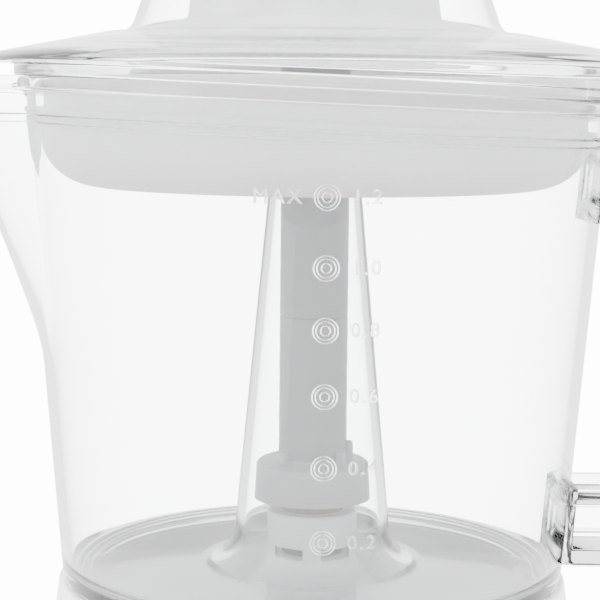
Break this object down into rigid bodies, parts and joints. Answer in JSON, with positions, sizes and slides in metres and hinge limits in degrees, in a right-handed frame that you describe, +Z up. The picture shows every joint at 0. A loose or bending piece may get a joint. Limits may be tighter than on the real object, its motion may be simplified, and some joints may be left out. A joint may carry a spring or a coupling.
{
  "type": "citrus press juicer",
  "caption": "Electric citrus press: flared base with motor, clear measuring jug with spout and handle, strainer, ribbed reamer and clear domed lid.",
  "frame": {"origin": "centre of the foot ring's lower face, on the table", "axes": "+Z up along the spindle, +X towards the handle, the spout towards -X, the litre scale faces -Y"},
  "size_m": [0.2264, 0.165, 0.2828],
  "materials": {
    "white_plastic": "satin moulded ABS",
    "grey_white_plastic": "satin moulded acetal",
    "milky_plastic": "milky translucent polypropylene",
    "clear_plastic": "clear polished styrene acrylonitrile",
    "steel": "bright",
    "can_steel": "zinc plated",
    "copper_coil": "enamelled winding",
    "bronze": "sintered",
    "magnet": "dark ferrite",
    "gear_plastic": "natural acetal",
    "black_plastic": "matt",
    "red_plastic": "matt",
    "soft_rubber": "matt"
  },
  "bodies": {
    "base": {"base_housing": "white_plastic", "bottom_cover": "white_plastic", "foot_ring": "soft_rubber", "cover_screws": "steel", "cord_grommet": "soft_rubber", "motor_can": "can_steel", "motor_coil": "copper_coil", "motor_screws": "steel", "gearbox_plate": "white_plastic", "gearbox_cover": "white_plastic", "gearbox_screws": "steel", "idler_pin": "steel", "upper_bush": "bronze", "lower_bush": "bronze", "return_spring": "steel", "switch_body": "black_plastic"},
    "button": {"switch_button": "red_plastic"},
    "plunger": {"thrust_plunger": "black_plastic"},
    "rotor": {"motor_rotor": "magnet", "motor_pinion": "bronze"},
    "idler": {"idler_gear": "gear_plastic"},
    "output": {"output_gear": "gear_plastic"},
    "spindle": {"spindle_shaft": "steel", "drive_spindle": "grey_white_plastic", "drip_collar": "grey_white_plastic"},
    "jug": {"jug_body": "clear_plastic", "jug_handle": "clear_plastic"},
    "strainer": {"strainer": "milky_plastic"},
    "washer": {"slip_washer": "gear_plastic"},
    "reamer": {"drive_sleeve": "grey_white_plastic", "reamer_cone": "white_plastic"},
    "lid": {"lid": "clear_plastic"}
  },
  "joints": [
    {"name": "press_start", "type": "slide", "parent": "base", "child": "plunger", "axis": [0, 0, 1], "range_m": [-0.0025, 0], "stiffness_N_per_m": 1800, "springref_m": 0.003, "deforming": ["return_spring"]},
    {"name": "switch_press", "type": "slide", "parent": "base", "child": "button", "axis": [0, 0, 1], "range_m": [-0.0025, 0]},
    {"name": "spindle_spin", "type": "hinge", "parent": "plunger", "child": "spindle", "pos_m": [0, 0, 0.1], "axis": [0, 0, 1], "continuous": true},
    {"name": "output_spin", "type": "hinge", "parent": "base", "child": "output", "pos_m": [0, 0, 0.05], "axis": [0, 0, 1], "continuous": true},
    {"name": "idler_spin", "type": "hinge", "parent": "base", "child": "idler", "pos_m": [-0.02954, 0.01354, 0.05], "axis": [0, 0, 1], "continuous": true},
    {"name": "rotor_spin", "type": "hinge", "parent": "base", "child": "rotor", "pos_m": [-0.042, 0, 0.02], "axis": [0, 0, 1], "continuous": true},
    {"name": "jug_lift", "type": "slide", "parent": "base", "child": "jug", "axis": [0, 0, 1], "range_m": [0, 0.12]},
    {"name": "strainer_lift", "type": "slide", "parent": "jug", "child": "strainer", "axis": [0, 0, 1], "range_m": [0, 0.07]},
    {"name": "reamer_press", "type": "slide", "parent": "strainer", "child": "washer", "axis": [0, 0, 1], "range_m": [-0.0025, 0]},
    {"name": "reamer_spin", "type": "hinge", "parent": "washer", "child": "reamer", "pos_m": [0, 0, 0.2], "axis": [0, 0, 1], "continuous": true},
    {"name": "lid_lift", "type": "slide", "parent": "strainer", "child": "lid", "axis": [0, 0, 1], "range_m": [0, 0.085]}
  ],
  "couplings": [
    {"joint": "switch_press", "follows": "press_start", "ratio": 1},
    {"joint": "reamer_press", "follows": "press_start", "ratio": 1},
    {"joint": "spindle_spin", "follows": "reamer_spin", "ratio": 1},
    {"joint": "output_spin", "follows": "reamer_spin", "ratio": 1},
    {"joint": "idler_spin", "follows": "reamer_spin", "ratio": -2.25},
    {"joint": "rotor_spin", "follows": "reamer_spin", "ratio": 5.1429}
  ]
}
